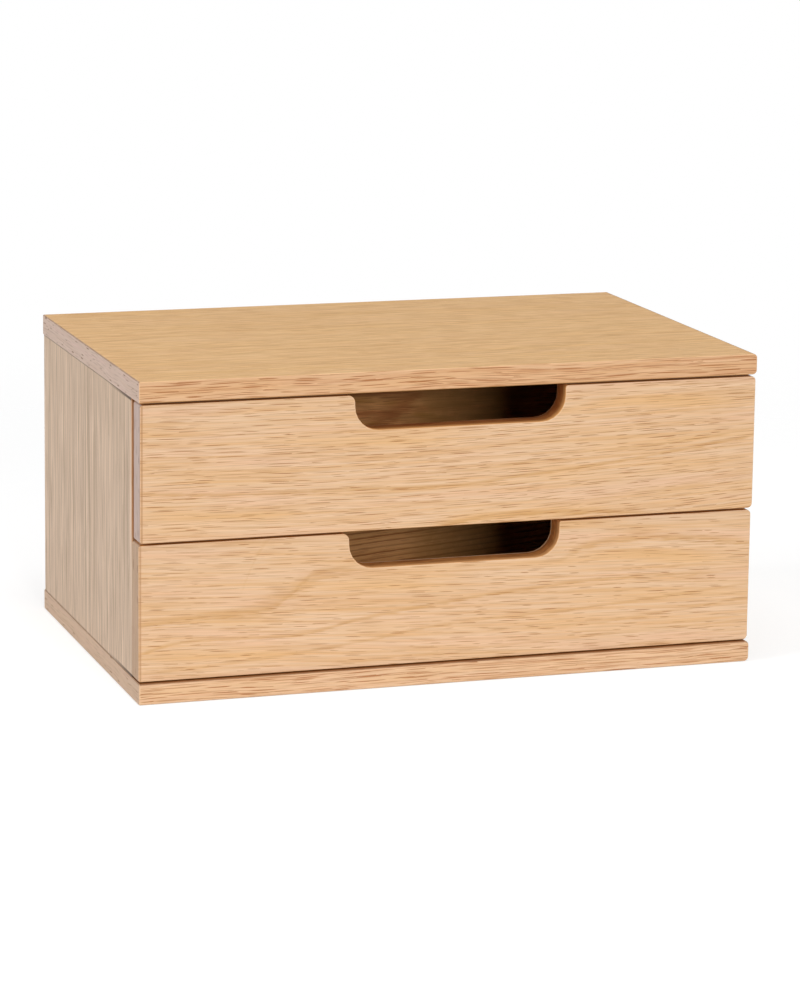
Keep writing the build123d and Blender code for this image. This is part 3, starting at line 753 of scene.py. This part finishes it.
def makeFront(which):
    nodeName, body = which + "_drawer_front", which + "_drawer"
    box = boxOf(nodeName)
    (x0, y0, z0), (x1, y1, z1) = millimetresOf(box)
    own = fronts[which]
    x0 += own["leftInset"]
    y1 += fronts["rearLip"]
    half = own["slotWidth"] / 2
    leftWall, rightWall = own["shift"] - half, own["shift"] + half
    floor = z1 - fronts["slotDepth"] + own["floorRise"]
    slot = {"centre": own["shift"], "floor": floor, "halfWidth": half, "corner": fronts["slotCorner"]}
    start = (fronts["leftEdge"] / perMetre, box[0][1], box[0][2])
    # a dark line along the left arris, and painted shade along the bottom edge in the seam
    seams = [seam(*fronts["cornerLine"], (1, 0, 0), x0 + fronts["leftCorner"] - fronts["cornerInset"],
                  fronts["cornerReach"]),
             seam(*fronts["underLine"], (0, 0, 1), z0, fronts["underReach"])]
    look = {**fronts["look"], **frontLooks[which]}
    oak = makeOak(which + "FrontOak", box, start, slot, seams=seams, **look)
    wallOak = makeSlotOak(which + "SlotOak", start, slotWall[which])
    left, right, deep = fronts["leftCorner"], fronts["rightCorner"], fronts["slotCorner"]
    thin, soft = fronts["frontArris"], fronts["slotArris"]
    corners = [(x0, z0, left, thin), (x1, z0, right, thin), (x1, z1, right, thin),
               (rightWall, z1, fronts["rightLip"], soft), (rightWall, floor, deep, soft),
               (leftWall, floor, deep, soft), (leftWall, z1, fronts["leftLip"], thin), (x0, z1, left, thin)]
    roundedBoard(which + "Front", corners, y0, y1, fronts["rearArris"], alongDepth, body, nodeName,
                 [oak, wallOak, makeEndOak(which, box, True)],
                 [2, 2, 2, 1, 1, 1, 1, 2], [0, 2, 0, 1, 1, 1, 0, 2])


makeFront("lower")
makeFront("upper")
print("drawer fronts made")


boxes = {
    "side": {"grain": (0, 1, 0), "across": (0, 0, 1), "through": (1, 0, 0)},
    "look": {"pale": (0.56, 0.295, 0.135), "deep": (0.49, 0.24, 0.10), "line": (0.34, 0.14, 0.05),
             "warm": (0.54, 0.27, 0.115), "pink": (0.54, 0.285, 0.14), "pore": (0.26, 0.10, 0.04),
             "end": (0.40, 0.22, 0.12), "endDark": (0.28, 0.14, 0.07),
             "ringAmount": 0.7, "ringWidth": 5.0, "lineWidth": 0.35,
             "worn": (0.74, 0.46, 0.25), "wornAmount": 0.4, "wornReach": 1.2},
    "lowerBack": {"heart": (-140.0, 0.0), "ringWidth": 3.4, "lineWidth": 0.5, "ringAmount": 1.5,
                  "line": (0.27, 0.10, 0.03), "lift": [(0, 5), (350, 35)], "shade": (1.42, 1.36, 1.10)},
    "upperBack": {"heart": (60.0, -50.0), "ringWidth": 7.0,
                  "toneSize": (24.0, 8.0), "streakSize": (40.0, 6.0),
                  "pale": (0.78, 0.43, 0.20), "deep": (0.34, 0.17, 0.06), "warm": (0.40, 0.21, 0.045),
                  "pink": (0.82, 0.36, 0.16), "line": (0.33, 0.11, 0.03), "shade": (1.06, 0.89, 0.66),
                  "figure": [([(160, 2), (183, 19), (207, 38)], 13.0, 0.9),
                             ([(225, 10), (255, 22), (290, 30)], 4.0, 0.3)]},
    "backPatch": seam(0.7, (0.36, 0.165, 0.04), (1, 0, 0), 80.0, 46.0),  # painted shade: darker right of the middle, where the light through the slot ends
    "ply": {"across": (0, 1, 0), "through": (0, 0, 1),
            "pale": (0.60, 0.37, 0.19), "deep": (0.54, 0.32, 0.155),
            "warm": (0.58, 0.35, 0.16), "pink": (0.58, 0.36, 0.20), "wornAmount": 0.3},
    "backFace": {"pale": (0.64, 0.42, 0.23), "deep": (0.58, 0.37, 0.19), "warm": (0.62, 0.39, 0.19),
                 "pink": (0.62, 0.40, 0.23), "wornAmount": 0.3},
    "beech": {"grain": (0, 1, 0), "across": (1, 0, 0), "through": (0, 0, 1), "pale": (0.70, 0.48, 0.32),
              "deep": (0.66, 0.44, 0.28)},
}


def giveOak(look, *names):
    for name in names:
        box = boxOf(name)
        materials = nodes[name].data.materials
        materials.clear()
        materials.append(makeOak(name + "Oak", box, box[0], **look))


for drawer in ("lower", "upper"):
    giveOak({**boxes["look"], **boxes["side"]}, drawer + "_drawer_left_side", drawer + "_drawer_right_side")
    backLook = {**boxes["look"], **boxes[drawer + "Back"], "seams": [boxes["backPatch"]]}
    giveOak(backLook, drawer + "_drawer_back")
    giveOak(boxes["ply"], drawer + "_drawer_bottom")
    giveOak(boxes["beech"], drawer + "_front_dowels", drawer + "_back_dowels")
giveOak(boxes["ply"], "divider_shelf")
giveOak(boxes["backFace"], "back_panel")
giveOak(boxes["beech"], "top_dowels", "base_dowels")
print("inner parts finished")


studio = {
    "floorFade": (0.3, 1.0), "floorSides": 96, "floorDrop": 0.0002, "floorColour": (0.62, 0.62, 0.62),
    "floorRoughness": 0.9, "floorGlow": 0.56, "worldLevel": 0.26,
    "lampAim": (0, 0, 0.087),
    "lamps": {  # power, azimuth, elevation, distance, width, height
        "frontKey": (29.3, -3.4, 13.0, 2.6, 0.66, 0.36),
        "leftSoft": (28.0, -84.0, 25.0, 2.4, 1.4, 1.4),
        "rightSoft": (10.0, 62.0, 25.0, 2.4, 1.4, 1.4),
        "overhead": (14.0, 10.0, 80.0, 2.2, 1.6, 1.6),
    },
}
photoView = {
    "place": (-0.649691, -1.977104, 0.526757), "azimuth": 18.331, "elevation": 10.45, "roll": 0.708,
    "lens": 134.978, "sensor": 36.0, "shift": -0.112,
}


def brightForLooking(tree):
    path = addNode(tree, "LightPath").outputs
    seen = calc(tree, "MAXIMUM", path["Is Camera Ray"], path["Is Glossy Ray"])
    return calc(tree, "MAXIMUM", seen, path["Is Transmission Ray"])


def makeFloor():
    near, far = studio["floorFade"]
    mesh = bmesh.new()
    bmesh.ops.create_circle(mesh, cap_ends=True, segments=studio["floorSides"], radius=far)
    data = bpy.data.meshes.new("studioFloor")
    mesh.to_mesh(data)
    mesh.free()
    floor = bpy.data.objects.new("studioFloor", data)
    bpy.context.scene.collection.objects.link(floor)
    floor.location.z = -studio["floorDrop"]
    material = bpy.data.materials.new("palePaper")
    material.use_nodes = True
    tree = material.node_tree
    shader = tree.nodes["Principled BSDF"]
    shader.inputs["Base Color"].default_value = studio["floorColour"] + (1,)
    shader.inputs["Roughness"].default_value = studio["floorRoughness"]
    shader.inputs["Specular IOR Level"].default_value = 0.0
    shader.inputs["Emission Color"].default_value = (1, 1, 1, 1)
    glow = calc(tree, "MULTIPLY", brightForLooking(tree), studio["floorGlow"])
    tree.links.new(glow, shader.inputs["Emission Strength"])
    away = vectorCalc(tree, "LENGTH", addNode(tree, "TexCoord").outputs["Object"])
    tree.links.new(fade(tree, away, near, far, 1.0, 0.0), shader.inputs["Alpha"])  # ends in the white studio
    data.materials.append(material)


def makeWorld():
    world = bpy.data.worlds.new("whiteStudio")
    bpy.context.scene.world = world
    world.use_nodes = True
    tree = world.node_tree
    tree.nodes.clear()
    dim = addNode(tree, "Background", {"Color": (1, 1, 1, 1), "Strength": studio["worldLevel"]})
    bright = addNode(tree, "Background", {"Color": (1, 1, 1, 1), "Strength": 1.0})
    both = addNode(tree, "MixShader", {0: brightForLooking(tree), 1: dim.outputs[0], 2: bright.outputs[0]})
    tree.links.new(both.outputs[0], addNode(tree, "OutputWorld").inputs["Surface"])


def makeLamp(name, power, azimuth, elevation, distance, width, height):
    light = bpy.data.lights.new(name, "AREA")
    light.shape = "RECTANGLE"
    light.size, light.size_y = width, height
    light.energy = power
    lamp = bpy.data.objects.new(name, light)
    bpy.context.scene.collection.objects.link(lamp)
    a, e = math.radians(azimuth), math.radians(elevation)
    away = Vector((math.sin(a) * math.cos(e), -math.cos(a) * math.cos(e), math.sin(e)))
    lamp.location = Vector(studio["lampAim"]) + away * distance
    lamp.rotation_mode = "QUATERNION"
    lamp.rotation_quaternion = away.to_track_quat("Z", "Y")


def makeCamera():
    place = photoView["place"]
    azimuth, elevation, roll = [math.radians(photoView[angle]) for angle in ("azimuth", "elevation", "roll")]
    ahead = Vector((math.sin(azimuth) * math.cos(elevation), math.cos(azimuth) * math.cos(elevation),
                    -math.sin(elevation)))
    level = Vector((math.cos(azimuth), -math.sin(azimuth), 0))
    upright = level.cross(ahead)
    right = level * math.cos(roll) + upright * math.sin(roll)
    up = upright * math.cos(roll) - level * math.sin(roll)
    camera = bpy.data.cameras.new("photoCamera")
    camera.lens = photoView["lens"]
    camera.sensor_width = photoView["sensor"]
    camera.shift_y = photoView["shift"]
    holder = bpy.data.objects.new("photoCamera", camera)
    bpy.context.scene.collection.objects.link(holder)
    rows = [(right[i], up[i], -ahead[i], place[i]) for i in range(3)]
    holder.matrix_world = Matrix((*rows, (0, 0, 0, 1)))
    bpy.context.scene.camera = holder


makeFloor()
makeWorld()
for lampName, lampPlace in studio["lamps"].items():
    makeLamp(lampName, *lampPlace)
makeCamera()
bpy.context.scene.view_settings.view_transform = "Standard"
print("studio ready")
